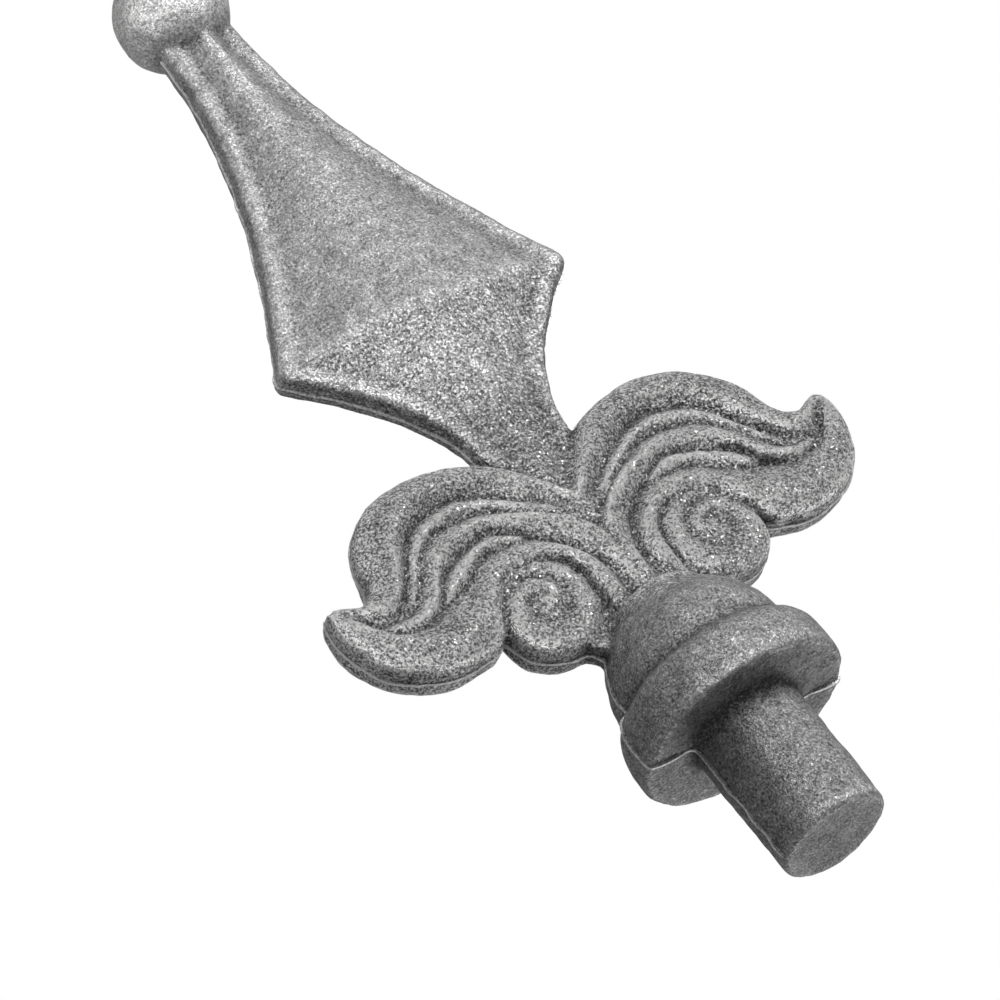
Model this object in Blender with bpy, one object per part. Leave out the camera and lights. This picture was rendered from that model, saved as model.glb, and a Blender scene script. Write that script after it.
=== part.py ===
# Cast-iron fence finial: round shank, turned collar and neck, two scrolled leaves, faceted blade, ball tip.
# One casting, symmetric left to right and front to back, upright on +Z, front face towards -Y.
# The origin is the centre of the shank's flat end. All sizes are in metres.

import math

import bmesh
import bpy
from mathutils import Vector

# Shank and turned collar
SHANK_RADIUS = 0.0100
SHANK_LENGTH = 0.0254
END_CHAMFER = 0.0009
COLLAR_RADIUS = 0.0196
COLLAR_HEIGHT = 0.0104
COLLAR_ROUNDING = 0.0008
NECK_RADIUS = 0.0161
NECK_HEIGHT = 0.0174
NECK_TOP_RADIUS = 0.0092
CREASE_DEPTH = 0.0006
TURNED_SIDES = 40

# Leaves
LEAF_FOOT = 0.0460
LEAF_SPAN = 0.0510
LEAF_RISE = 0.0460
RIB_HEIGHT = 0.0046
WEB_HEIGHT = 0.0028
SCROLL_ACROSS = 0.0168
SCROLL_UP = 0.0130
SCROLL_RADIUS = 0.0072
EYE_RADIUS = 0.0023
EDGE_FULLNESS = 0.66
SCROLL_FULLNESS = 0.82

# Blade
BLADE_POINT = 0.0753
BLADE_WAIST = 0.0880
BLADE_CORNER = 0.1185
BLADE_TOP = 0.1870
WAIST_HALF_WIDTH = 0.0089
CORNER_HALF_WIDTH = 0.0295
TOP_HALF_WIDTH = 0.0073
LOWER_CURVE = 1.85
UPPER_CURVE = 1.79
POINT_CURVE = 0.75
CORNER_ROUNDING = 0.0006
EDGE_HEIGHT = 0.0007
RIM_HEIGHT = 0.0036
RIM_BEVEL = 0.0016
RIM_WIDTH = 0.0014
RIM_STEP = 0.0005
PANEL_FOOT_HEIGHT = 0.0030
APEX_HEIGHT = 0.0070
POINT_HEIGHT = 0.0048
TOP_HEIGHT = 0.0056

# Ball
BALL_RADIUS = 0.0100
BALL_SINK = 0.0026
BALL_SIDES = 24

# The leaf is drawn on a grid of 100 squares across its span and 90 squares up its rise.
GRID_ACROSS = 100
GRID_UP = 90

# Each rib is given as (across, up, half width) in grid squares, from its root to its tip.
TOP_LOBE = [(7, 60, 5), (17, 71, 6.2), (30, 78.8, 7.2), (44, 81.4, 7.5), (57, 78.2, 7.7),
            (67.6, 69.3, 7.8), (72.8, 58.3, 7.4), (78, 48.6, 5), (85.5, 45.8, 4.8), (91.5, 48, 4.4),
            (94.6, 50.6, 3.2)]
UPPER_RIB = [(11, 57, 1.6), (21, 63.5, 2.4), (31, 68.2, 3.2), (41, 70, 3.7), (52, 67, 3.3),
             (60, 60.5, 2.6), (66, 52, 2), (71.5, 45, 1.6)]
MIDDLE_LOBE = [(1.6, 14, 4), (2.4, 29, 4), (7.4, 42.6, 4.8), (18, 54, 5.2), (31, 60, 5.3),
               (43, 60.8, 5.2), (54, 56.5, 5), (62, 48, 4.7), (70, 40, 4.1), (80, 39.5, 3.5),
               (90, 45.5, 2.8)]
LOWER_RIB = [(15, 46.5, 1.4), (26, 51.5, 2.2), (36, 53.5, 3.3), (44, 52.2, 3.2), (52, 48, 3),
             (59, 42.5, 2.2), (65, 39, 1.6)]
BOTTOM_LOBE = [(11.2, 14, 4.4), (11.4, 27, 4.5), (16, 38, 4.6), (25, 44.5, 4.6), (37, 44, 5),
               (48, 36, 7), (58, 29, 9.8), (69.5, 26.5, 9.4), (80.5, 29, 9.3), (89.2, 37.2, 8),
               (93.2, 45.8, 5.2), (94.6, 50.6, 3.2)]
RIB_STATIONS = {"top lobe": 16, "upper rib": 9, "middle lobe": 15, "lower rib": 8, "bottom lobe": 16}

# The rounded end of a lobe, as (distance past its last point, size) in shares of its half width.
LOBE_END = [(0.5, 0.86), (0.92, 0.42)]

# The scroll is given as (angle in degrees, radius, half width) in shares of the scroll's own radius.
SCROLL_TURN = [(50, 1.10, 0.30), (115, 0.98, 0.31), (180, 0.92, 0.32), (235, 1.00, 0.42),
               (280, 1.00, 0.43), (325, 1.01, 0.40), (370, 0.84, 0.27), (415, 0.66, 0.21),
               (465, 0.53, 0.17), (530, 0.40, 0.14)]
SCROLL_STATIONS = 26

IRON_COLOUR = (0.205, 0.205, 0.203, 1.0)
IRON_ROUGHNESS = 0.62
IRON_METALLIC = 0.55


def smooth_line(points, count):
    """A curve through all points, read at count places; points may have any number of coordinates."""
    line = []
    for step in range(count):
        place = step / (count - 1) * (len(points) - 1)
        index = min(int(place), len(points) - 2)
        t = place - index
        p1, p2 = points[index], points[index + 1]
        p0 = points[index - 1] if index > 0 else [2 * a - b for a, b in zip(p1, p2)]
        p3 = points[index + 2] if index + 2 < len(points) else [2 * b - a for a, b in zip(p1, p2)]
        line.append([0.5 * (2 * b + (c - a) * t + (2 * a - 5 * b + 4 * c - d) * t ** 2
                            + (3 * b - a - 3 * c + d) * t ** 3)
                     for a, b, c, d in zip(p0, p1, p2, p3)])
    return line


def new_object(name, bm):
    """Put a bmesh into a new object of the scene."""
    bmesh.ops.recalc_face_normals(bm, faces=bm.faces)
    mesh = bpy.data.meshes.new(name)
    bm.to_mesh(mesh)
    bm.free()
    piece = bpy.data.objects.new(name, mesh)
    bpy.context.scene.collection.objects.link(piece)
    return piece


def new_cutter(name, bm):
    """A solid that is only an operand of the union."""
    piece = new_object(name, bm)
    piece.hide_render = True
    piece.display_type = "WIRE"
    return piece


def loft(name, sections):
    """A closed solid through sections of equal point count, made by extruding the first."""
    bm = bmesh.new()
    corners = [bm.verts.new(point) for point in sections[0]]
    face = bm.faces.new(corners)
    for section in sections[1:]:
        old_order = {tuple(vert.co): index for index, vert in enumerate(corners)}
        grown = bmesh.ops.extrude_face_region(bm, geom=[face])["geom"]
        if section is not sections[1]:
            bmesh.ops.delete(bm, geom=[face], context="FACES_ONLY")
        face = next(item for item in grown if isinstance(item, bmesh.types.BMFace))
        corners = sorted(face.verts, key=lambda vert: old_order[tuple(vert.co)])
        for vert, point in zip(corners, section):
            vert.co = point
    return new_cutter(name, bm)


def leaf_point(across, up, side):
    """A point of the leaf drawing, in the mid-plane of the casting."""
    return Vector((side * across * LEAF_SPAN / GRID_ACROSS, 0, LEAF_FOOT + up * LEAF_RISE / GRID_UP))


def rib_section(fullness):
    """A rib's section with half width and height of one: a crest, two edges, and sides between."""
    quarter = [(1, 0), (fullness, fullness)]
    corners = []
    for _ in range(4):
        corners += quarter
        quarter = [(-out, across) for across, out in quarter]
    return corners


def rib(name, line, widths, height, fullness):
    """A rib along a line in the mid-plane, with a rounded end, the same on the front and the back."""
    stations = []
    for index, (centre, half_width) in enumerate(zip(line, widths)):
        ahead = line[min(index + 1, len(line) - 1)]
        behind = line[max(index - 1, 0)]
        along = (ahead - behind).normalized()
        stations.append((centre, along, half_width, height))
    centre, along, half_width, _ = stations[-1]
    for reach, size in LOBE_END:
        stations.append((centre + along * half_width * reach, along, half_width * size, height * size))
    sections = []
    for centre, along, half_width, crest in stations:
        sideways = Vector((along.z, 0, -along.x))
        sections.append([centre + sideways * half_width * across + Vector((0, crest * out, 0))
                         for across, out in rib_section(fullness)])
    return loft(name, sections)


def leaf_rib(name, points, stations, height, side):
    """One rib of the leaf drawing, with its centre line for the web."""
    drawn = smooth_line(points, stations)
    line = [leaf_point(across, up, side) for across, up, _ in drawn]
    widths = [width * LEAF_SPAN / GRID_ACROSS for _, _, width in drawn]
    return rib(name, line, widths, height, EDGE_FULLNESS), line


def leaf(side):
    """All solids of one leaf: five ribs, the scroll with its eye, and the web under them."""
    mark = "right" if side > 0 else "left"
    solids = []
    lines = {}
    drawing = [("top lobe", TOP_LOBE, 1.0), ("upper rib", UPPER_RIB, 0.88),
               ("middle lobe", MIDDLE_LOBE, 1.0), ("lower rib", LOWER_RIB, 0.88),
               ("bottom lobe", BOTTOM_LOBE, 1.0)]
    for kind, points, share in drawing:
        solid, lines[kind] = leaf_rib(f"{mark} {kind}", points, RIB_STATIONS[kind],
                                      RIB_HEIGHT * share, side)
        solids.append(solid)

    centre = Vector((side * SCROLL_ACROSS, 0, LEAF_FOOT + SCROLL_UP))
    turn = []
    for angle, radius, half_width in smooth_line(SCROLL_TURN, SCROLL_STATIONS):
        around = math.radians(angle)
        reach = Vector((side * math.cos(around), 0, math.sin(around))) * radius * SCROLL_RADIUS
        turn.append((centre + reach, half_width * SCROLL_RADIUS))
    scroll_line = [point for point, _ in turn]
    solids.append(rib(f"{mark} scroll", scroll_line, [width for _, width in turn], RIB_HEIGHT,
                      SCROLL_FULLNESS))

    bm = bmesh.new()
    bmesh.ops.create_uvsphere(bm, u_segments=10, v_segments=6, radius=EYE_RADIUS)
    bmesh.ops.scale(bm, vec=(1, RIB_HEIGHT / EYE_RADIUS, 1), verts=bm.verts)
    bmesh.ops.translate(bm, vec=centre, verts=bm.verts)
    solids.append(new_cutter(f"{mark} eye", bm))

    lobe_below = [point for point in reversed(lines["bottom lobe"])
                  if abs(point.x) > SCROLL_ACROSS + SCROLL_RADIUS]
    scroll_below = [point for point in reversed(scroll_line)
                    if point.z < centre.z and abs(point.x) > SCROLL_ACROSS]
    lobe_above = [point for point in lines["top lobe"] if abs(point.x) > WAIST_HALF_WIDTH]
    outline = [Vector((side * (WAIST_HALF_WIDTH - RIM_BEVEL), 0, BLADE_WAIST))]
    outline += lobe_above + lobe_below + scroll_below
    outline.append(Vector((side * NECK_RADIUS * 0.86, 0, LEAF_FOOT)))
    outline.append(Vector((0, 0, LEAF_FOOT)))
    outline.append(Vector((0, 0, BLADE_WAIST)))
    front = Vector((0, -WEB_HEIGHT, 0))
    solids.append(loft(f"{mark} web", [[point + front for point in outline],
                                       [point - front for point in outline]]))
    return solids


def lower_edge(height):
    """Half width of the blade along its lower edges, with its slope."""
    share = (height - BLADE_WAIST) / (BLADE_CORNER - BLADE_WAIST)
    rise = CORNER_HALF_WIDTH - WAIST_HALF_WIDTH
    slope = rise * LOWER_CURVE * share ** (LOWER_CURVE - 1) / (BLADE_CORNER - BLADE_WAIST)
    return WAIST_HALF_WIDTH + rise * share ** LOWER_CURVE, slope


def upper_edge(height):
    """Half width of the blade along its upper edges, with its slope."""
    share = max(0.0, (BLADE_TOP - height) / (BLADE_TOP - BLADE_CORNER))
    rise = CORNER_HALF_WIDTH - TOP_HALF_WIDTH
    slope = rise * UPPER_CURVE * share ** (UPPER_CURVE - 1) / (BLADE_TOP - BLADE_CORNER)
    return TOP_HALF_WIDTH + rise * share ** UPPER_CURVE, slope


def blade_half_width(height, inset):
    """Half width of the blade's outline at a height, moved in square to the edge by an inset."""
    if height < BLADE_WAIST:
        share = (height - BLADE_POINT) / (BLADE_WAIST - BLADE_POINT)
        return WAIST_HALF_WIDTH * share ** POINT_CURVE * (1 - inset / WAIST_HALF_WIDTH)
    widths = [width - inset * math.hypot(1, slope)
              for width, slope in (lower_edge(height), upper_edge(height))]
    return min(widths)


def blade_section(height):
    """One level section of the blade: bevelled edge, rim, step and the two panel facets."""
    if height < BLADE_CORNER:
        share = (height - BLADE_POINT) / (BLADE_CORNER - BLADE_POINT)
        ridge = POINT_HEIGHT + (APEX_HEIGHT - POINT_HEIGHT) * share
    else:
        share = (height - BLADE_CORNER) / (BLADE_TOP - BLADE_CORNER)
        ridge = APEX_HEIGHT + (TOP_HEIGHT - APEX_HEIGHT) * share
    rounding = CORNER_ROUNDING * max(0.0, 1 - abs(height - BLADE_CORNER) / CORNER_ROUNDING)
    steps = [(0, EDGE_HEIGHT), (RIM_BEVEL, RIM_HEIGHT), (RIM_BEVEL + RIM_WIDTH, RIM_HEIGHT),
             (RIM_BEVEL + RIM_WIDTH + RIM_STEP, PANEL_FOOT_HEIGHT)]
    quarter = [(blade_half_width(height, inset), out) for inset, out in steps]
    quarter[0] = (quarter[0][0] - rounding, EDGE_HEIGHT)
    front = quarter + [(0, ridge)] + [(-across, out) for across, out in reversed(quarter)]
    back = [(-across, -out) for across, out in front]
    return [Vector((across, -out, height)) for across, out in front + back]


def blade():
    """The blade, from its point between the leaves to its top inside the ball."""
    heights = [BLADE_POINT + (BLADE_WAIST - BLADE_POINT) * share for share in (0.02, 0.15, 0.5, 0.97)]
    heights += [BLADE_WAIST + (BLADE_CORNER - BLADE_WAIST) * share
                for share in (0.06, 0.2, 0.34, 0.48, 0.6, 0.72, 0.83, 0.92)]
    heights += [BLADE_CORNER - CORNER_ROUNDING, BLADE_CORNER, BLADE_CORNER + CORNER_ROUNDING]
    heights += [BLADE_CORNER + (BLADE_TOP - BLADE_CORNER) * share
                for share in (0.04, 0.12, 0.22, 0.34, 0.46, 0.6, 0.76, 0.93)]
    heights.append(BLADE_TOP + BALL_SINK)
    return loft("blade", [blade_section(height) for height in heights])


def ball():
    """The ball that ends the finial."""
    bm = bmesh.new()
    bmesh.ops.create_uvsphere(bm, u_segments=BALL_SIDES, v_segments=BALL_SIDES // 2, radius=BALL_RADIUS)
    bmesh.ops.translate(bm, vec=(0, 0, BLADE_TOP - BALL_SINK + BALL_RADIUS), verts=bm.verts)
    return new_cutter("ball", bm)


def turned_profile():
    """The turned outline from the shank's end to the top of the neck, as (radius, height)."""
    collar_top = SHANK_LENGTH + COLLAR_HEIGHT
    neck_top = collar_top + NECK_HEIGHT
    bead = [(COLLAR_RADIUS - COLLAR_ROUNDING, SHANK_LENGTH),
            (COLLAR_RADIUS - COLLAR_ROUNDING * 0.3, SHANK_LENGTH + COLLAR_ROUNDING * 0.7),
            (COLLAR_RADIUS, SHANK_LENGTH + COLLAR_HEIGHT * 0.30),
            (COLLAR_RADIUS * 0.985, SHANK_LENGTH + COLLAR_HEIGHT * 0.55),
            (COLLAR_RADIUS * 0.94, SHANK_LENGTH + COLLAR_HEIGHT * 0.80),
            (NECK_RADIUS + CREASE_DEPTH, collar_top)]
    neck = [(NECK_RADIUS - CREASE_DEPTH, collar_top + CREASE_DEPTH * 0.3),
            (NECK_RADIUS, collar_top + NECK_HEIGHT * 0.08),
            (NECK_RADIUS * 0.97, collar_top + NECK_HEIGHT * 0.22),
            (NECK_RADIUS * 0.90, collar_top + NECK_HEIGHT * 0.42),
            (NECK_RADIUS * 0.79, collar_top + NECK_HEIGHT * 0.60),
            (NECK_TOP_RADIUS * 1.13, collar_top + NECK_HEIGHT * 0.75),
            (NECK_TOP_RADIUS, collar_top + NECK_HEIGHT * 0.86),
            (NECK_TOP_RADIUS * 0.75, collar_top + NECK_HEIGHT * 0.96),
            (0, neck_top)]
    return ([(0, 0), (SHANK_RADIUS - END_CHAMFER, 0), (SHANK_RADIUS, END_CHAMFER),
             (SHANK_RADIUS, SHANK_LENGTH)] + bead + neck)


def turned_base():
    """Shank, collar and neck, spun round the axis."""
    bm = bmesh.new()
    corners = [bm.verts.new((radius, 0, height)) for radius, height in turned_profile()]
    edges = [bm.edges.new(pair) for pair in zip(corners, corners[1:])]
    bmesh.ops.spin(bm, geom=corners + edges, cent=(0, 0, 0), axis=(0, 0, 1), angle=2 * math.pi,
                   steps=TURNED_SIDES, use_merge=True)
    bmesh.ops.remove_doubles(bm, verts=bm.verts, dist=0.000001)
    return new_object("finial_casting", bm)


def grey_iron():
    """Raw shot-blasted grey cast iron."""
    material = bpy.data.materials.new("grey_cast_iron")
    material.use_nodes = True
    shader = material.node_tree.nodes["Principled BSDF"]
    shader.inputs["Base Color"].default_value = IRON_COLOUR
    shader.inputs["Roughness"].default_value = IRON_ROUGHNESS
    shader.inputs["Metallic"].default_value = IRON_METALLIC
    return material


for old_object in list(bpy.data.objects):
    bpy.data.objects.remove(old_object, do_unlink=True)

casting = turned_base()
casting.data.materials.append(grey_iron())
cast_on = bpy.data.collections.new("cast on")
bpy.context.scene.collection.children.link(cast_on)
for solid in [blade(), ball()] + leaf(1) + leaf(-1):
    bpy.context.scene.collection.objects.unlink(solid)
    cast_on.objects.link(solid)
union = casting.modifiers.new("cast in one", "BOOLEAN")
union.operation = "UNION"
union.solver = "EXACT"
union.use_self = True
union.operand_type = "COLLECTION"
union.collection = cast_on
casting.data.shade_smooth()
casting.data.set_sharp_from_angle(angle=math.radians(32))
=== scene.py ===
# Grey cast-iron fence finial, seen from below its foot end against a white surround.
# The file follows the casting from its foot to its tip, then the iron skin, then the studio.
import math

import bmesh
import bpy
import numpy as np
from mathutils import Matrix, Vector, noise
from mathutils.bvhtree import BVHTree


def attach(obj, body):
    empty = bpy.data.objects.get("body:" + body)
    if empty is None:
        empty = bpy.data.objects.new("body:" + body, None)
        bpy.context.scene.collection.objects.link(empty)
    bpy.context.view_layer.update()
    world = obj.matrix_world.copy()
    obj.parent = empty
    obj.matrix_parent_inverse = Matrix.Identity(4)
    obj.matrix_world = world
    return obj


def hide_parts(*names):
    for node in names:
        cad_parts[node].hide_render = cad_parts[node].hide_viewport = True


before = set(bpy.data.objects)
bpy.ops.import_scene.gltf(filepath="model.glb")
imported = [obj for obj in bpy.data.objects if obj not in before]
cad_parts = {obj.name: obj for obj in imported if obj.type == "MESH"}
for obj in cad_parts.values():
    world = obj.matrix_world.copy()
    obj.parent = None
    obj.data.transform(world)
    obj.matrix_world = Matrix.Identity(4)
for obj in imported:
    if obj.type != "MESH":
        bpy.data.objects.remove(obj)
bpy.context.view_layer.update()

# Shank, collar and neck: the round foot of the casting, formed by a turned pattern.
# The shank is a plain 20 mm round, the collar a fat bead with a flat underside, and the neck
# a dome that draws in to the leaves. It is cast solid with everything above it.
MM = 0.001
WELD_GAP = 0.000002
FOOT_SIDES = 96
SHANK = [(0, 0), (9.2, 0), (9.7, 0.15), (9.95, 0.6), (10, 1.3), (10, 24.4), (10.15, 25.0), (10.7, 25.4)]
COLLAR = [(18.6, 25.4), (19.25, 25.6), (19.5, 26.2), (19.6, 27.6), (19.6, 29.2), (19.5, 30.6),
          (19.25, 31.9), (18.9, 33.2), (18.3, 34.4), (17.6, 35.2), (16.9, 35.65), (16.2, 35.75)]
NECK = [(15.95, 35.95), (16.05, 36.8), (16.1, 38.0), (15.9, 39.7), (15.6, 41.0), (15.1, 42.3),
        (14.1, 44.8), (12.7, 46.8), (11.1, 48.5), (10.0, 49.8), (9.3, 51.0), (8.3, 52.2),
        (5.5, 53.0), (0, 53.3)]
casting_parts = []


def keep_part(bm):
    """Close one solid of the casting, turn its faces outwards and put it aside."""
    bmesh.ops.remove_doubles(bm, verts=bm.verts, dist=WELD_GAP)
    bmesh.ops.recalc_face_normals(bm, faces=bm.faces)
    mesh = bpy.data.meshes.new("casting_part")
    bm.to_mesh(mesh)
    bm.free()
    casting_parts.append(mesh)


foot = bmesh.new()
foot_corners = [foot.verts.new((radius * MM, 0, height * MM)) for radius, height in SHANK + COLLAR + NECK]
foot_edges = [foot.edges.new(pair) for pair in zip(foot_corners, foot_corners[1:])]
bmesh.ops.spin(foot, geom=foot_corners + foot_edges, cent=(0, 0, 0), axis=(0, 0, 1),
               angle=2 * math.pi, steps=FOOT_SIDES, use_merge=True)
keep_part(foot)

# Leaves: two curled acanthus leaves that spring from the neck, each of five ribs with grooves between.
# Carved in the pattern and cast in the round, with the same relief on the front and the back.
# Lines are (out from the axis, up from the shank's end) in mm, each drawn from the stem to the tip.
RIB_CREST = 5.3
THIN_RIB_CREST = 4.5
GROOVE_FLOOR = 2.7
LEAF_EDGE = 0.8
TOP_OUTLINE = [(0.5, 76.0), (4.5, 82.8), (9.8, 88.0), (12.3, 89.2), (17, 90.9), (23, 91.8), (28, 91.1),
               (31.5, 89.9), (35, 87.6), (38, 84.5), (39.8, 80.8), (40.8, 76.3), (42.2, 74.0),
               (44.4, 72.8), (46.5, 73.9), (48.6, 74.8)]
TOP_CREST = [(0.3, 74.8), (5, 79.6), (9.8, 83.5), (15.2, 86.2), (20.7, 86.7), (25.4, 86.1), (30.1, 83.7),
             (32.8, 80.8), (34.8, 77.3), (36.3, 74.2), (38.3, 71.4), (40.8, 70.1), (44.2, 70.4),
             (47.2, 72.2), (48.9, 74.0)]
FIRST_GROOVE = [(0, 71.5), (3.3, 74.3), (10.3, 79.3), (15.3, 82.4), (20, 83.8), (23.9, 83.2), (27.8, 82.0),
                (30.6, 79.7), (32.9, 76.5), (35.3, 73.0), (37.2, 70.7), (39.2, 68.9), (42.7, 67.9),
                (46.2, 69.6), (49.2, 73.2)]
UPPER_CREST = [(5.6, 74.4), (10.7, 78.0), (15.3, 80.6), (19.4, 81.7), (22.5, 81.3), (26.6, 80.1),
               (30.3, 77.0), (33, 73.0), (36, 69.6), (38.6, 67.9)]
SECOND_GROOVE = [(0, 67.9), (3, 70.8), (8.3, 75.0), (11, 76.7), (15.3, 78.9), (18.9, 79.7), (22, 79.5),
                 (25.9, 78.9), (29, 77.3), (31.8, 74.6), (34.1, 71.1), (36.4, 68.3), (39.0, 67.1),
                 (43, 67.2)]
MIDDLE_CREST = [(0.9, 52), (0.9, 61), (1.4, 66.6), (3.2, 70.3), (5.5, 72.6), (9.4, 74.6), (13.3, 75.7),
                (17.2, 76.9), (21.1, 76.9), (25, 75.7), (28.1, 74.2), (30.1, 71.8), (32.4, 68.3),
                (34.8, 65.9), (37.9, 65.2), (41, 65.6), (43.7, 66.4)]
STEM_GROOVE = [(3.0, 52), (3.1, 60), (3.7, 62.4), (5.7, 66.7), (10, 70.6), (13.4, 72.7), (17.7, 75.1),
               (21.6, 74.3), (25.9, 72.7), (29.8, 70.4), (31.8, 67.3), (34.1, 65.4), (36.4, 64.2),
               (39.6, 64.1), (43.1, 65.1)]
STEM_OUTLINE = [(-1.2, 52), (-1.2, 62), (0, 67.9), (3, 70.8), (8.3, 75.0), (11, 76.7), (15.3, 78.9),
                (18.9, 79.7), (22, 79.5), (25.9, 78.9), (29, 77.3), (31.8, 74.6), (34.1, 71.1),
                (36.4, 68.3), (39.0, 67.1), (43, 67.2)]
LOWER_CREST = [(13.2, 72.0), (18, 73.3), (22, 72.8), (25.8, 71.0), (29.4, 68.4), (32, 66.5)]
LOWER_OUTLINE = [(13.0, 72.6), (17.7, 75.1), (21.6, 74.3), (25.9, 72.7), (29.8, 70.4), (32.6, 66.6)]
THIRD_GROOVE = [(13, 71.3), (18.1, 71.6), (22, 71.0), (23.9, 69.6), (27.9, 67.3), (31.6, 66.0)]
BOTTOM_OUTLINE = [(3.3, 52), (3.4, 60), (4.4, 63), (6.4, 66.9), (10.3, 70.2), (13, 71.2), (18.1, 71.6),
                  (22, 71.0), (23.9, 69.6), (27.9, 67.3), (31, 65.9), (34.1, 64.9), (36.4, 64.2),
                  (39.6, 64.1), (43.1, 65.1), (46.6, 69.0), (49.2, 73.4)]
BOTTOM_CREST = [(5.6, 52), (5.7, 60), (7.6, 65.0), (12, 68.2), (17.5, 69.0), (22, 67.3), (25.3, 63.9),
                (29.2, 61.0), (33.1, 59.8), (37, 60.0), (40.9, 61.6), (43.9, 64.1), (46.0, 67.2),
                (47.8, 70.4), (49.4, 73.6)]
LEAF_UNDERSIDE = [(8.0, 52), (8.0, 60), (8.8, 63.0), (11.0, 65.6), (15.5, 66.6), (20.5, 65.2), (24.2, 61.5),
                  (26.2, 57.0), (28.4, 55.6), (31, 55.2), (35.4, 54.6), (40, 55.5), (44.6, 57.6),
                  (48.2, 61.0), (50.3, 65.4), (51.0, 69.6), (50.6, 73.0), (49.8, 74.6)]
SCROLL_CENTRE = (16.8, 59.0)
SCROLL_TURN = [(52, 7.7, 1.9), (90, 7.1, 2.1), (135, 6.7, 2.2), (180, 6.2, 2.3), (225, 6.6, 2.8),
               (270, 6.9, 3.1), (315, 6.9, 3.0), (360, 5.9, 2.4), (405, 4.7, 2.0), (450, 3.6, 1.7),
               (495, 2.7, 1.4), (540, 1.9, 1.2)]
SCROLL_CREST = 4.6
SCROLL_FLOOR = 3.9
SCROLL_DISC = 6.6
EYE_SIZE = 2.0
STEM_MOUND = (6.6, 4.1, 6.4)
STEM_MOUND_UP = 73.0
LEAF_WEB = 2.8
RIDGE_STATIONS = 44
SECTION_STEPS = 8
SHARP_EDGE = 0.85
ROUND_RIDGE = 1.5
TOP_FLANK = 1.15
UNDERSIDE_EDGE = 1.6
SCROLL_EDGE = 1.9
TIP_START = 0.86
TIP_DROP = 0.35
WEB_STATIONS = 24
WEB_FROM_SCROLL = 26
WEB_REACH = 7.2
WEB_ANGLES = (330, 300, 270)
WEB_FOOT = [(15.2, 49.4), (12.6, 46.6), (0, 47)]


def smooth_line(points, count):
    """A curve through all points, read at count places."""
    line = []
    for step in range(count):
        place = step / (count - 1) * (len(points) - 1)
        index = min(int(place), len(points) - 2)
        t = place - index
        p1, p2 = points[index], points[index + 1]
        p0 = points[index - 1] if index > 0 else [2 * a - b for a, b in zip(p1, p2)]
        p3 = points[index + 2] if index + 2 < len(points) else [2 * b - a for a, b in zip(p1, p2)]
        line.append([0.5 * (2 * b + (c - a) * t + (2 * a - 5 * b + 4 * c - d) * t ** 2
                            + (3 * b - a - 3 * c + d) * t ** 3)
                     for a, b, c, d in zip(p0, p1, p2, p3)])
    return line


def even_line(points, count):
    """The same curve, read at even distances along its length, as vectors in mm."""
    fine = [Vector(point[:2]) for point in smooth_line(points, len(points) * 12)]
    walked = [0.0]
    for here, ahead in zip(fine, fine[1:]):
        walked.append(walked[-1] + (ahead - here).length)
    places = np.interp(np.linspace(0, walked[-1], count), walked, range(len(fine)))
    line = []
    for place in places:
        index = min(int(place), len(fine) - 2)
        line.append(fine[index].lerp(fine[index + 1], place - index))
    return line


def lofted(sections):
    """A solid through sections of equal point count, made by extruding the first one on and on."""
    bm = bmesh.new()
    corners = [bm.verts.new(point) for point in sections[0]]
    face = bm.faces.new(corners)
    for section in sections[1:]:
        order = {tuple(vert.co): index for index, vert in enumerate(corners)}
        grown = bmesh.ops.extrude_face_region(bm, geom=[face])["geom"]
        if section is not sections[1]:
            bmesh.ops.delete(bm, geom=[face], context="FACES_ONLY")
        face = next(item for item in grown if isinstance(item, bmesh.types.BMFace))
        corners = sorted(face.verts, key=lambda vert: order[tuple(vert.co)])
        for vert, point in zip(corners, section):
            vert.co = point
    return bm


def ridge_section(inner, crest, outer, heights, roundness, side):
    """One section of a rib, from its groove over its crest to its other edge, and back behind."""
    front = []
    for step in range(SECTION_STEPS + 1):
        turn = step / SECTION_STEPS * math.pi / 2
        share = math.cos(turn) ** roundness[0]
        front.append((crest.lerp(inner, share),
                      heights[0] + (heights[1] - heights[0]) * math.sin(turn) ** roundness[0]))
    for step in range(SECTION_STEPS - 1, -1, -1):
        turn = step / SECTION_STEPS * math.pi / 2
        share = math.cos(turn) ** roundness[1]
        front.append((crest.lerp(outer, share),
                      heights[2] + (heights[1] - heights[2]) * math.sin(turn) ** roundness[1]))
    back = [(place, -out) for place, out in reversed(front)]
    return [Vector((side * place.x * MM, -out * MM, place.y * MM)) for place, out in front + back]


def keep_ridge(inner, crest, outer, heights, roundness, side):
    """A rib between two lines with its crest on a third, running down to its tip."""
    lines = [even_line(points, RIDGE_STATIONS) for points in (inner, crest, outer)]
    sections = []
    for index, (low, top, high) in enumerate(zip(*lines)):
        share = index / (RIDGE_STATIONS - 1)
        drop = 1 - TIP_DROP * max(0.0, (share - TIP_START) / (1 - TIP_START)) ** 2
        sections.append(ridge_section(low, top, high, [height * drop for height in heights],
                                      roundness, side))
    keep_part(lofted(sections))


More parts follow.
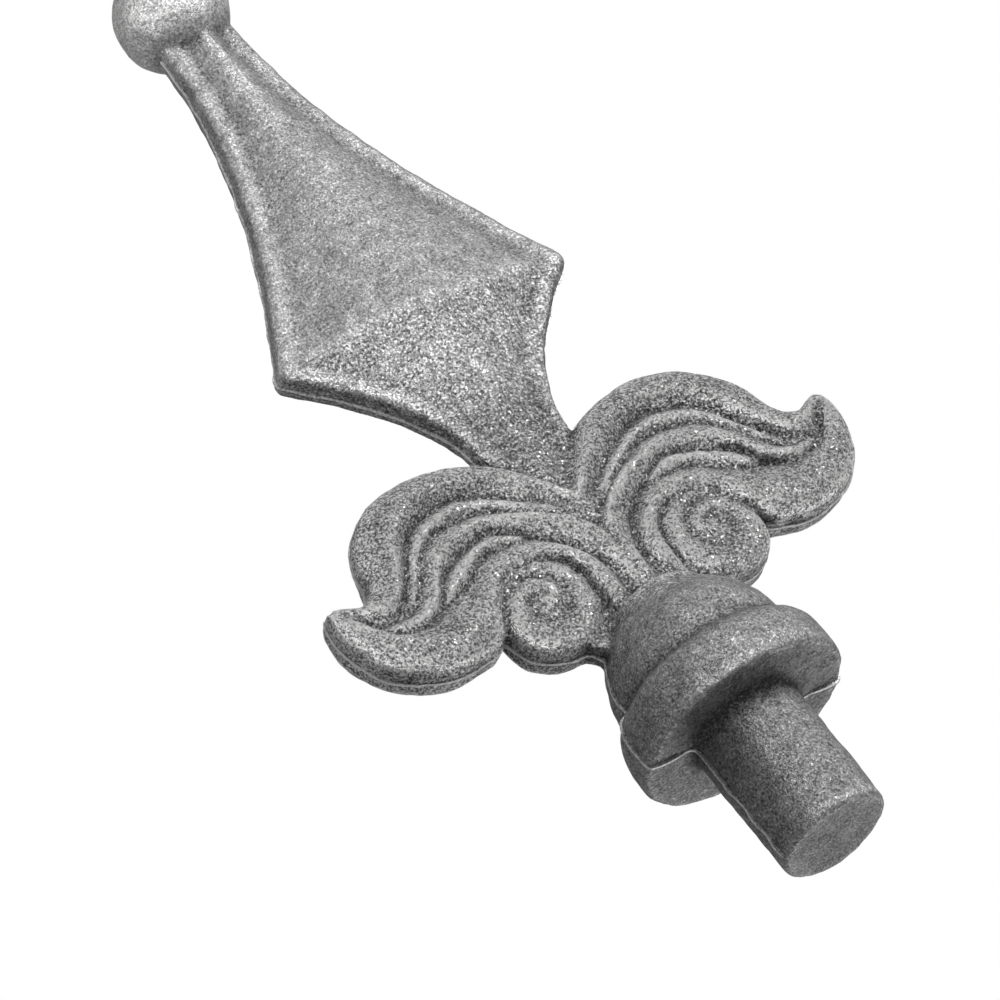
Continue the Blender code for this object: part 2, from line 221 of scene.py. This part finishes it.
def keep_leaf(side):
    """All solids of one leaf."""
    keep_ridge(FIRST_GROOVE, TOP_CREST, TOP_OUTLINE, (GROOVE_FLOOR, RIB_CREST, LEAF_EDGE),
               (ROUND_RIDGE, TOP_FLANK), side)
    keep_ridge(SECOND_GROOVE[1:], UPPER_CREST, FIRST_GROOVE[1:12],
               (GROOVE_FLOOR, THIN_RIB_CREST, GROOVE_FLOOR), (ROUND_RIDGE, ROUND_RIDGE), side)
    keep_ridge(STEM_GROOVE, MIDDLE_CREST, STEM_OUTLINE, (GROOVE_FLOOR, RIB_CREST, GROOVE_FLOOR),
               (ROUND_RIDGE, ROUND_RIDGE), side)
    keep_ridge(THIRD_GROOVE, LOWER_CREST, LOWER_OUTLINE, (GROOVE_FLOOR, THIN_RIB_CREST, GROOVE_FLOOR),
               (ROUND_RIDGE, ROUND_RIDGE), side)
    keep_ridge(LEAF_UNDERSIDE, BOTTOM_CREST, BOTTOM_OUTLINE,
               (UNDERSIDE_EDGE, RIB_CREST, GROOVE_FLOOR), (SHARP_EDGE, ROUND_RIDGE), side)

    centre = Vector(SCROLL_CENTRE)
    sections = []
    for angle, radius, half_width in smooth_line(SCROLL_TURN, RIDGE_STATIONS):
        away = Vector((math.cos(math.radians(angle)), math.sin(math.radians(angle))))
        crest = centre + away * radius
        sections.append(ridge_section(crest - away * half_width, crest, crest + away * half_width,
                                      (SCROLL_FLOOR, SCROLL_CREST, SCROLL_EDGE),
                                      (ROUND_RIDGE, SHARP_EDGE), side))
    keep_part(lofted(sections))

    disc = bmesh.new()
    bmesh.ops.create_cone(disc, cap_ends=True, segments=40, radius1=SCROLL_DISC * MM, radius2=SCROLL_DISC * MM,
                          depth=2 * SCROLL_FLOOR * MM)
    bmesh.ops.rotate(disc, cent=(0, 0, 0), matrix=Matrix.Rotation(math.pi / 2, 3, "X"), verts=disc.verts)
    bmesh.ops.translate(disc, vec=(side * centre.x * MM, 0, centre.y * MM), verts=disc.verts)
    keep_part(disc)

    eye = bmesh.new()
    bmesh.ops.create_uvsphere(eye, u_segments=24, v_segments=16, radius=EYE_SIZE * MM)
    bmesh.ops.scale(eye, vec=(1, SCROLL_CREST / EYE_SIZE, 1), verts=eye.verts)
    bmesh.ops.translate(eye, vec=(side * centre.x * MM, 0, centre.y * MM), verts=eye.verts)
    keep_part(eye)

    upper = even_line(TOP_CREST, WEB_STATIONS)
    lower = even_line(BOTTOM_CREST, WEB_STATIONS)
    under_scroll = [centre + Vector((math.cos(math.radians(angle)), math.sin(math.radians(angle)))) * WEB_REACH
                    for angle in WEB_ANGLES]
    border = upper + [point for point in reversed(lower) if point.x > WEB_FROM_SCROLL]
    border += under_scroll + [Vector(point) for point in WEB_FOOT]
    keep_part(lofted([[Vector((side * place.x * MM, depth * MM, place.y * MM)) for place in border]
                      for depth in (-LEAF_WEB, LEAF_WEB)]))


keep_leaf(1)
keep_leaf(-1)
mound = bmesh.new()
bmesh.ops.create_uvsphere(mound, u_segments=32, v_segments=20, radius=MM)
bmesh.ops.scale(mound, vec=STEM_MOUND, verts=mound.verts)
bmesh.ops.translate(mound, vec=(0, 0, STEM_MOUND_UP * MM), verts=mound.verts)
keep_part(mound)

# Blade: the flat spear between the leaves and the ball, with hollow-curved edges, a narrow raised rim
# and a low four-sided pyramid on each face. Its lower end runs down between the leaves to a point.
BLADE_POINT = 75.3
BLADE_WAIST = 88.0
BLADE_CORNER = 118.5
BLADE_TOP = 187.0
WAIST_HALF_WIDTH = 8.7
CORNER_HALF_WIDTH = 29.8
TOP_HALF_WIDTH = 7.2
LOWER_CURVE = 1.85
UPPER_CURVE = 1.79
POINT_CURVE = 0.75
APEX_HEIGHT = 7.8
POINT_HEIGHT = 3.1
TOP_HEIGHT = 5.0
LOWER_FALL = 1.8
UPPER_FALL = 2.4
BLADE_STATIONS = 90
RIM = [(0, 0.9), (0.25, 1.9), (0.6, 2.5), (1.1, 2.8), (1.8, 2.98), (2.6, 3.03), (3.3, 2.86), (4.0, 2.82)]
CORNER_ROUNDING = 0.525
LEAST_HALF_WIDTH = 0.02
PANEL_RISE = ((0.2, 0.30), (0.4, 0.56), (0.6, 0.78), (0.8, 0.93), (0.92, 0.98))
POINT_CLEAR = 0.2
INTO_BALL = 2.6


def blade_half_width(height, inset):
    """Half width of the blade at a height, moved in square to its edge."""
    if height < BLADE_WAIST:
        share = (height - BLADE_POINT) / (BLADE_WAIST - BLADE_POINT)
        return WAIST_HALF_WIDTH * share ** POINT_CURVE * (1 - inset / WAIST_HALF_WIDTH)
    low_share = (height - BLADE_WAIST) / (BLADE_CORNER - BLADE_WAIST)
    low_rise = CORNER_HALF_WIDTH - WAIST_HALF_WIDTH
    low_slope = low_rise * LOWER_CURVE * low_share ** (LOWER_CURVE - 1) / (BLADE_CORNER - BLADE_WAIST)
    low = WAIST_HALF_WIDTH + low_rise * low_share ** LOWER_CURVE - inset * math.hypot(1, low_slope)
    top_share = max(0.0, (BLADE_TOP - height) / (BLADE_TOP - BLADE_CORNER))
    top_rise = CORNER_HALF_WIDTH - TOP_HALF_WIDTH
    top_slope = top_rise * UPPER_CURVE * top_share ** (UPPER_CURVE - 1) / (BLADE_TOP - BLADE_CORNER)
    top = TOP_HALF_WIDTH + top_rise * top_share ** UPPER_CURVE - inset * math.hypot(1, top_slope)
    return (low + top) / 2 - math.hypot((low - top) / 2, CORNER_ROUNDING)


def blade_section(height):
    """One level section of the blade, with its rim and its two panel facets, front and back."""
    if height < BLADE_CORNER:
        share = (height - BLADE_POINT) / (BLADE_CORNER - BLADE_POINT)
        ridge = POINT_HEIGHT + (APEX_HEIGHT - POINT_HEIGHT) * share ** LOWER_FALL
    else:
        share = (height - BLADE_CORNER) / (BLADE_TOP - BLADE_CORNER)
        ridge = TOP_HEIGHT + (APEX_HEIGHT - TOP_HEIGHT) * max(0.0, 1 - share) ** UPPER_FALL
    quarter = [(max(LEAST_HALF_WIDTH, blade_half_width(height, inset)), out) for inset, out in RIM]
    foot_across, foot_out = quarter[-1]
    quarter += [(foot_across * (1 - share), foot_out + (ridge - foot_out) * rise)
                for share, rise in PANEL_RISE]
    front = quarter + [(0, ridge)] + [(-across, out) for across, out in reversed(quarter)]
    back = [(-across, -out) for across, out in front]
    return [Vector((across * MM, -out * MM, height * MM)) for across, out in front + back]


blade_span = BLADE_TOP + INTO_BALL - BLADE_POINT - POINT_CLEAR
blade_heights = [BLADE_POINT + POINT_CLEAR + blade_span * step / BLADE_STATIONS
                 for step in range(BLADE_STATIONS + 1)]
keep_part(lofted([blade_section(height) for height in blade_heights]))

# Ball: a plain ball on the blade's end, cast with it.
BALL_RADIUS = 10.1
BALL_CENTRE = 194.4
tip_ball = bmesh.new()
bmesh.ops.create_uvsphere(tip_ball, u_segments=64, v_segments=40, radius=BALL_RADIUS * MM)
bmesh.ops.translate(tip_ball, vec=(0, 0, BALL_CENTRE * MM), verts=tip_ball.verts)
keep_part(tip_ball)

# The casting in one: the solids above run together as they do in the mould, with soft inner corners
# and slightly uneven faces. It is one piece of iron from the shank's end to the ball.
CAST_DETAIL = 0.00058
SOFTENING = 2
UNEVEN_SIZE = 160.0
UNEVEN_DEPTH = 0.00022
LUMP_SIZE = 620.0
LUMP_DEPTH = 0.00009
joined = bmesh.new()
for part in casting_parts:
    joined.from_mesh(part)
joined_mesh = bpy.data.meshes.new("finial_skin")
joined.to_mesh(joined_mesh)
joined.free()
casting = bpy.data.objects.new("finial_skin", joined_mesh)
bpy.context.scene.collection.objects.link(casting)
run_together = casting.modifiers.new("run together", "REMESH")
run_together.mode = "VOXEL"
run_together.voxel_size = CAST_DETAIL
soften = casting.modifiers.new("soft corners", "SMOOTH")
soften.factor = 0.5
soften.iterations = SOFTENING
finished = casting.evaluated_get(bpy.context.evaluated_depsgraph_get())
casting_mesh = bpy.data.meshes.new_from_object(finished)
casting.modifiers.clear()
casting.data = casting_mesh
corner_count = len(casting_mesh.vertices)
places = np.empty(corner_count * 3)
casting_mesh.vertices.foreach_get("co", places)
places = places.reshape(-1, 3)
outward = np.empty(corner_count * 3)
casting_mesh.vertices.foreach_get("normal", outward)
outward = outward.reshape(-1, 3)
uneven = [noise.fractal(Vector(place) * UNEVEN_SIZE, 1.0, 2.0, 2) * UNEVEN_DEPTH
          + noise.noise(Vector(place) * LUMP_SIZE) * LUMP_DEPTH for place in places]
places += outward * np.array(uneven)[:, None]

# Grooves: the narrow lines between the ribs and round the scrolls, part of the same casting.
# They are cut deeper than the ribs' own hollows, get extra painted shade, and are built alike on both faces.
GROOVE_HALF_WIDTH = 0.52
CUT_LINES = [(FIRST_GROOVE[2:13], 0.8), (SECOND_GROOVE, 0.5), (STEM_GROOVE, 1.0), (THIRD_GROOVE, 0.2),
             (BOTTOM_OUTLINE[:6], 0.4), (LEAF_UNDERSIDE[:5], 0.6), (LEAF_UNDERSIDE[6:9], 0.9)]
SCROLL_CUT = [(45, 5.9), (90, 5.3), (135, 4.7), (180, 4.1), (225, 3.8), (270, 3.7), (315, 3.6), (360, 3.2),
              (405, 2.5), (450, 1.9)]
SCROLL_CUT_DEPTH = 0.3
DEEPEST_CUT = 0.55
CUT_STEPS = 160
FADE_STEPS = 22
FADE_OUT = 0.9
LEAF_LOWEST = 50
LEAF_HIGHEST = 92
OFF_MIDDLE = 0.0017
FLOW_TURNS = 9
FULL_RELIEF = 0.0004
CUT_PAINTED_SHADE = 0.7
scroll_cut = [(SCROLL_CENTRE[0] + radius * math.cos(math.radians(angle)),
               SCROLL_CENTRE[1] + radius * math.sin(math.radians(angle))) for angle, radius in SCROLL_CUT]
cut = np.zeros(corner_count)
across_mm, up_mm = np.abs(places[:, 0]) / MM, places[:, 2] / MM
on_leaf = (up_mm > LEAF_LOWEST) & (up_mm < LEAF_HIGHEST) & (np.abs(places[:, 1]) > OFF_MIDDLE)
for line, depth in CUT_LINES + [(scroll_cut, SCROLL_CUT_DEPTH)]:
    nearest = np.full(int(on_leaf.sum()), np.inf)
    for step, point in enumerate(even_line(line, CUT_STEPS)):
        fading = FADE_OUT * max(0.0, 1 - min(step, CUT_STEPS - 1 - step) / FADE_STEPS)
        gap = np.hypot(across_mm[on_leaf] - point.x, up_mm[on_leaf] - point.y) + fading
        nearest = np.minimum(nearest, gap)
    cut[on_leaf] = np.maximum(cut[on_leaf], depth * np.exp(-(nearest / GROOVE_HALF_WIDTH) ** 2))
places[:, 1] -= np.sign(places[:, 1]) * cut * DEEPEST_CUT * MM
casting_mesh.vertices.foreach_set("co", places.ravel())
casting_mesh.update()
edge_ends = np.empty(len(casting_mesh.edges) * 2, dtype=np.int32)
casting_mesh.edges.foreach_get("vertices", edge_ends)
edge_ends = edge_ends.reshape(-1, 2)
neighbours = np.bincount(edge_ends.ravel(), minlength=corner_count)[:, None]
flowed = places.copy()
for _ in range(FLOW_TURNS):
    gathered = np.zeros_like(flowed)
    for axis in range(3):
        gathered[:, axis] = (np.bincount(edge_ends[:, 0], flowed[edge_ends[:, 1], axis], corner_count)
                             + np.bincount(edge_ends[:, 1], flowed[edge_ends[:, 0], axis], corner_count))
    flowed = gathered / neighbours
# How far each corner stands out of its smoothed surroundings, less the groove cuts: the iron paints shade in
# hollows and grooves and highlight on crests from it.
standing_out = ((places - flowed) * outward).sum(axis=1) / FULL_RELIEF
standing_out -= cut * CUT_PAINTED_SHADE
painted_light_shade = casting_mesh.attributes.new("painted_light_shade", "FLOAT", "POINT")
painted_light_shade.data.foreach_set("value", np.clip(0.5 + 0.5 * standing_out, 0, 1))
casting_mesh.shade_smooth()

# Iron: bare grey cast iron, matt, with a fine salt-and-pepper grain, with painted highlight on crests,
# painted shade in grooves and hollows and a painted shade band along the edges of the blade and leaves. The
# foot and the blade above its fold have less grain. The tone also changes with height, to stand in for light
# that the lamps leave out. Heights are (from, to) in metres above the shank's end.
NECK_TOP = (0.046, 0.054)
LEAF_START = (0.046, 0.056)
BLADE_FOOT = (0.078, 0.094)
WAIST = (0.084, 0.100)
CREST_END = (0.086, 0.098)
FOLD = (0.1170, 0.1195)
SHOULDER_END = (0.180, 0.186)
BALL_START = (0.184, 0.190)
IRON_DARK = (0.03, 0.03, 0.031, 1)
IRON_MID = (0.20, 0.20, 0.20, 1)
IRON_LIGHT = (0.62, 0.62, 0.615, 1)
GRAIN_SIZE = 2300.0
GRIT_SIZE = 3000.0
MOTTLE_SIZE = 420.0
CLOUD_SIZE = 70.0
GRAIN_DEPTH = 0.00045
PIT_DEPTH = 0.00035
FOOT_DARKER = -0.10
LEAF_LIGHTER = 0.20
CREST_PAINTED_HIGHLIGHT = 0.22
BLADE_DARKER = -0.22
BALL_LIGHTER = 0.26
EDGE_PAINTED_SHADE = -0.17
FLASH_LIGHT_MARK = 2.0
FLASH_PAINTED_LIGHT = 0.30
iron = bpy.data.materials.new("grey_cast_iron")
iron.use_nodes = True
iron_nodes = iron.node_tree.nodes
iron_links = iron.node_tree.links
iron_shader = iron_nodes["Principled BSDF"]
iron_shader.inputs["Metallic"].default_value = 0.75
place_on_iron = iron_nodes.new("ShaderNodeTexCoord")


def iron_noise(size, detail, roughness):
    """A noise on the casting's own coordinates."""
    node = iron_nodes.new("ShaderNodeTexNoise")
    node.inputs["Scale"].default_value = size
    node.inputs["Detail"].default_value = detail
    node.inputs["Roughness"].default_value = roughness
    iron_links.new(place_on_iron.outputs["Object"], node.inputs["Vector"])
    return node.outputs["Fac"]


def iron_range(value, low, high, new_low, new_high):
    """A value moved from one range to another, held inside it."""
    node = iron_nodes.new("ShaderNodeMapRange")
    node.inputs["From Min"].default_value = low
    node.inputs["From Max"].default_value = high
    node.inputs["To Min"].default_value = new_low
    node.inputs["To Max"].default_value = new_high
    iron_links.new(value, node.inputs["Value"])
    return node.outputs["Result"]


def iron_math(kind, first, second):
    """A sum or product of two values, the second of which may be a number."""
    node = iron_nodes.new("ShaderNodeMath")
    node.operation = kind
    iron_links.new(first, node.inputs[0])
    if isinstance(second, float):
        node.inputs[1].default_value = second
    else:
        iron_links.new(second, node.inputs[1])
    return node.outputs[0]


grain = iron_noise(GRAIN_SIZE, 3.0, 0.75)
mottle = iron_noise(MOTTLE_SIZE, 4.0, 0.65)
cloud = iron_noise(CLOUD_SIZE, 3.0, 0.55)
painted_light_shade_value = iron_nodes.new("ShaderNodeAttribute")
painted_light_shade_value.attribute_name = "painted_light_shade"
axes = iron_nodes.new("ShaderNodeSeparateXYZ")
iron_links.new(place_on_iron.outputs["Object"], axes.inputs[0])
height = axes.outputs["Z"]
above_foot = iron_range(height, *NECK_TOP, 0.45, 1.0)
on_lower_facets = iron_range(height, *WAIST, 1.3, 0.85)
below_fold = iron_range(height, *FOLD, 1.0, 0.62)
coarse = iron_math("MULTIPLY", above_foot, iron_math("MULTIPLY", on_lower_facets, below_fold))
grit = iron_nodes.new("ShaderNodeTexVoronoi")
grit.inputs["Scale"].default_value = GRIT_SIZE
iron_links.new(place_on_iron.outputs["Object"], grit.inputs["Vector"])
grit_tone = iron_nodes.new("ShaderNodeSeparateColor")
iron_links.new(grit.outputs["Color"], grit_tone.inputs["Color"])

speckle = iron_math("ADD", iron_range(grain, 0.36, 0.64, -0.45, 0.45),
                    iron_range(grit_tone.outputs["Red"], 0.0, 1.0, -0.35, 0.35))
speckle = iron_math("MULTIPLY", speckle, coarse)
tone = iron_math("ADD", iron_math("MULTIPLY", speckle, 0.78), iron_range(mottle, 0.3, 0.7, 0.40, 0.56))
tone = iron_math("ADD", tone, iron_range(cloud, 0.3, 0.7, -0.03, 0.03))
# Painted shade in hollows and grooves, and a little painted highlight on the corners that stand out most.
tone = iron_math("ADD", tone, iron_range(painted_light_shade_value.outputs["Fac"], 0.0, 0.9, -0.40, 0.10))
# Painted light on the parting flash, whose corners carry values above 1: its tone is lifted so the fin reads
# bright where the lamps leave it in shade.
tone = iron_math("ADD", tone, iron_range(painted_light_shade_value.outputs["Fac"], 1.0, FLASH_LIGHT_MARK, 0.0, FLASH_PAINTED_LIGHT))
tone = iron_math("ADD", tone, iron_range(height, *LEAF_START, FOOT_DARKER, LEAF_LIGHTER))
tone = iron_math("ADD", tone, iron_range(height, *BLADE_FOOT, 0.0, BLADE_DARKER))
tone = iron_math("ADD", tone, iron_range(height, *BALL_START, 0.0, BALL_LIGHTER))
off_foot = iron_range(height, *LEAF_START, 0.0, 1.0)
off_ball = iron_range(height, *SHOULDER_END, 1.0, 0.0)
from_middle = iron_math("ABSOLUTE", axes.outputs["Y"], 0.0)
# Painted shade: a dark band on the edge faces of the blade and leaves, within 2.9 mm of the mid-plane and
# darkest 1.6 to 2 mm off it, where the edges turn from the light; none on the foot or the ball.
edge_painted_shade = iron_math("MULTIPLY", iron_range(from_middle, 0.0009, 0.0016, 0.25, 1.0),
                     iron_range(from_middle, 0.0020, 0.0029, EDGE_PAINTED_SHADE, 0.0))
edge_painted_shade = iron_math("MULTIPLY", iron_math("MULTIPLY", edge_painted_shade, off_foot), off_ball)
tone = iron_math("ADD", tone, edge_painted_shade)
below_blade_panels = iron_range(height, *CREST_END, 1.0, 0.0)
# Painted highlight on the crests of the leaves and scrolls, above the foot and below the blade's panels.
crest = iron_math("MULTIPLY", iron_range(painted_light_shade_value.outputs["Fac"], 0.5, 0.95, 0.0, CREST_PAINTED_HIGHLIGHT), off_foot)
tone = iron_math("ADD", tone, iron_math("MULTIPLY", crest, below_blade_panels))
iron_colour = iron_nodes.new("ShaderNodeValToRGB")
iron_colour.color_ramp.elements[0].color = IRON_DARK
iron_colour.color_ramp.elements[1].color = IRON_LIGHT
iron_colour.color_ramp.elements.new(0.5).color = IRON_MID
iron_links.new(tone, iron_colour.inputs["Fac"])
iron_links.new(iron_colour.outputs["Color"], iron_shader.inputs["Base Color"])
iron_links.new(iron_range(tone, 0.2, 0.8, 0.60, 0.42), iron_shader.inputs["Roughness"])

below_blade = iron_range(height, *WAIST, 1.0, 0.35)
pitted = iron_math("MULTIPLY", above_foot, below_blade)
grain_bump = iron_nodes.new("ShaderNodeBump")
grain_bump.inputs["Distance"].default_value = GRAIN_DEPTH
iron_links.new(pitted, grain_bump.inputs["Strength"])
iron_links.new(speckle, grain_bump.inputs["Height"])
pit_bump = iron_nodes.new("ShaderNodeBump")
pit_bump.inputs["Distance"].default_value = PIT_DEPTH
iron_links.new(pitted, pit_bump.inputs["Strength"])
iron_links.new(mottle, pit_bump.inputs["Height"])
iron_links.new(grain_bump.outputs["Normal"], pit_bump.inputs["Normal"])
iron_links.new(pit_bump.outputs["Normal"], iron_shader.inputs["Normal"])
casting.data.materials.append(iron)
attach(casting, "root")
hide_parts("finial_casting")

# Parting flash: the thin ragged fin where the two mould halves met, round the casting in its mid-plane
# from the shank's end to the top of the blade. It is iron that crept between the halves, cast with the rest.
FIN_STEP = 0.00022
RAGGED_LIFT = 0.25
FLASH_THICKNESS = 0.0005
FLASH_ROOT = 0.0005
FLASH_LEAST = 0.00012
FLASH_MOST = 0.00045
FLASH_RAGGED = 260.0
FOOT_FLASH = 1.6
FOOT_FLASH_TOP = 0.048
END_FACE_CLEAR = 0.0006
FLASH_TOP = 0.1865
fin = bmesh.new()
fin.from_mesh(casting_mesh)
surface = BVHTree.FromBMesh(fin)
bmesh.ops.bisect_plane(fin, geom=fin.verts[:] + fin.edges[:] + fin.faces[:], plane_co=(0, 0, 0),
                       plane_no=(0, 1, 0), clear_inner=True, clear_outer=True)
without_flash = [vert for vert in fin.verts if vert.co.z < END_FACE_CLEAR or vert.co.z > FLASH_TOP]
bmesh.ops.delete(fin, geom=without_flash, context="VERTS")
bmesh.ops.remove_doubles(fin, verts=fin.verts, dist=FIN_STEP)
grown = bmesh.ops.extrude_edge_only(fin, edges=fin.edges[:])["geom"]
fin_lip = {item for item in grown if isinstance(item, bmesh.types.BMVert)}
for vert in fin.verts:
    outwards = surface.find_nearest(vert.co)[1]
    outwards = Vector((outwards.x, 0, outwards.z)).normalized()
    ragged = max(0.0, noise.noise(vert.co * FLASH_RAGGED) + RAGGED_LIFT)
    reach = FLASH_LEAST + (FLASH_MOST - FLASH_LEAST) * min(1.0, ragged)
    if vert.co.z < FOOT_FLASH_TOP:
        reach *= FOOT_FLASH
    vert.co += outwards * (reach if vert in fin_lip else -FLASH_ROOT)
bmesh.ops.recalc_face_normals(fin, faces=fin.faces)
bmesh.ops.solidify(fin, geom=fin.faces, thickness=FLASH_THICKNESS)
bmesh.ops.recalc_face_normals(fin, faces=fin.faces)
middle = sum((vert.co.y for vert in fin.verts)) / len(fin.verts)
bmesh.ops.translate(fin, vec=(0, -middle, 0), verts=fin.verts)
fin_mesh = bpy.data.meshes.new("parting_flash")
fin.to_mesh(fin_mesh)
# Mark the fin for the painted light that the iron puts on the flash.
fin_mesh.attributes["painted_light_shade"].data.foreach_set("value", [FLASH_LIGHT_MARK] * len(fin_mesh.vertices))
fin.free()
flash = bpy.data.objects.new("parting_flash", fin_mesh)
bpy.context.scene.collection.objects.link(flash)
fin_mesh.materials.append(iron)
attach(flash, "root")
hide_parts("finial_casting")

# Studio: a pale floor well below the finial, a white surround, a square key lamp at the right of the
# front, a weak glow from behind and below, and a small lamp at the left of the ball.
FLOOR_BELOW = -0.80
FLOOR_ACROSS = 8.0
floor_bm = bmesh.new()
bmesh.ops.create_grid(floor_bm, x_segments=1, y_segments=1, size=FLOOR_ACROSS / 2)
bmesh.ops.translate(floor_bm, vec=(0, 0, FLOOR_BELOW), verts=floor_bm.verts)
floor_mesh = bpy.data.meshes.new("studio_floor")
floor_bm.to_mesh(floor_mesh)
floor_bm.free()
floor = bpy.data.objects.new("studio_floor", floor_mesh)
bpy.context.scene.collection.objects.link(floor)
pale = bpy.data.materials.new("pale_floor")
pale.use_nodes = True
pale.node_tree.nodes["Principled BSDF"].inputs["Base Color"].default_value = (0.82, 0.82, 0.82, 1)
pale.node_tree.nodes["Principled BSDF"].inputs["Roughness"].default_value = 0.9
floor_mesh.materials.append(pale)

SURROUND_LIGHT = 0.41
surround = bpy.data.worlds.new("white_surround")
bpy.context.scene.world = surround
surround.use_nodes = True
sky_nodes = surround.node_tree.nodes
sky_links = surround.node_tree.links
lit = sky_nodes["Background"]
lit.inputs["Color"].default_value = (1, 1, 1, 1)
lit.inputs["Strength"].default_value = SURROUND_LIGHT
seen = sky_nodes.new("ShaderNodeBackground")
seen.inputs["Color"].default_value = (1, 1, 1, 1)
seen.inputs["Strength"].default_value = 1.0
ray = sky_nodes.new("ShaderNodeLightPath")
either = sky_nodes.new("ShaderNodeMixShader")
sky_links.new(ray.outputs["Is Camera Ray"], either.inputs["Fac"])
sky_links.new(lit.outputs["Background"], either.inputs[1])
sky_links.new(seen.outputs["Background"], either.inputs[2])
sky_links.new(either.outputs["Shader"], sky_nodes["World Output"].inputs["Surface"])
bpy.context.scene.view_settings.view_transform = "Standard"


def softbox(name, aim, direction, distance, size, power):
    """A square lamp that faces one place on the finial."""
    data = bpy.data.lights.new(name, "AREA")
    data.shape = "SQUARE"
    data.size = size
    data.energy = power
    lamp = bpy.data.objects.new(name, data)
    away = Vector(direction).normalized()
    lamp.location = Vector(aim) + away * distance
    lamp.rotation_euler = (-away).to_track_quat("-Z", "Y").to_euler()
    bpy.context.scene.collection.objects.link(lamp)


softbox("key_lamp", (0, 0, 0.10), (0.48, -0.86, 0.18), 0.9, 0.36, 17.0)
softbox("back_glow", (0, 0, 0.02), (0.47, 0.77, -0.44), 0.9, 0.5, 2.4)
softbox("ball_lamp", (0, 0, 0.194), (-0.85, -0.50, 0.15), 0.15, 0.10, 0.24)

# Camera: a long lens from below and left of the front, rolled so that the tip points up and left.
CAMERA_PLACE = Vector((-0.6841, -1.1155, -0.5514))
CAMERA_AIM = Vector((-0.00951, 0.0, 0.08192))
CAMERA_ROLL = -38.876
CAMERA_LENS = 318.68
camera_data = bpy.data.cameras.new("camera")
camera_data.sensor_width = 36.0
camera_data.lens = CAMERA_LENS
camera_data.clip_start = 0.05
camera_data.clip_end = 20.0
camera = bpy.data.objects.new("camera", camera_data)
bpy.context.scene.collection.objects.link(camera)
facing = (CAMERA_AIM - CAMERA_PLACE).to_track_quat("-Z", "Y").to_matrix().to_4x4()
camera.matrix_world = (Matrix.Translation(CAMERA_PLACE) @ facing
                       @ Matrix.Rotation(math.radians(CAMERA_ROLL), 4, "Z"))
bpy.context.scene.camera = camera
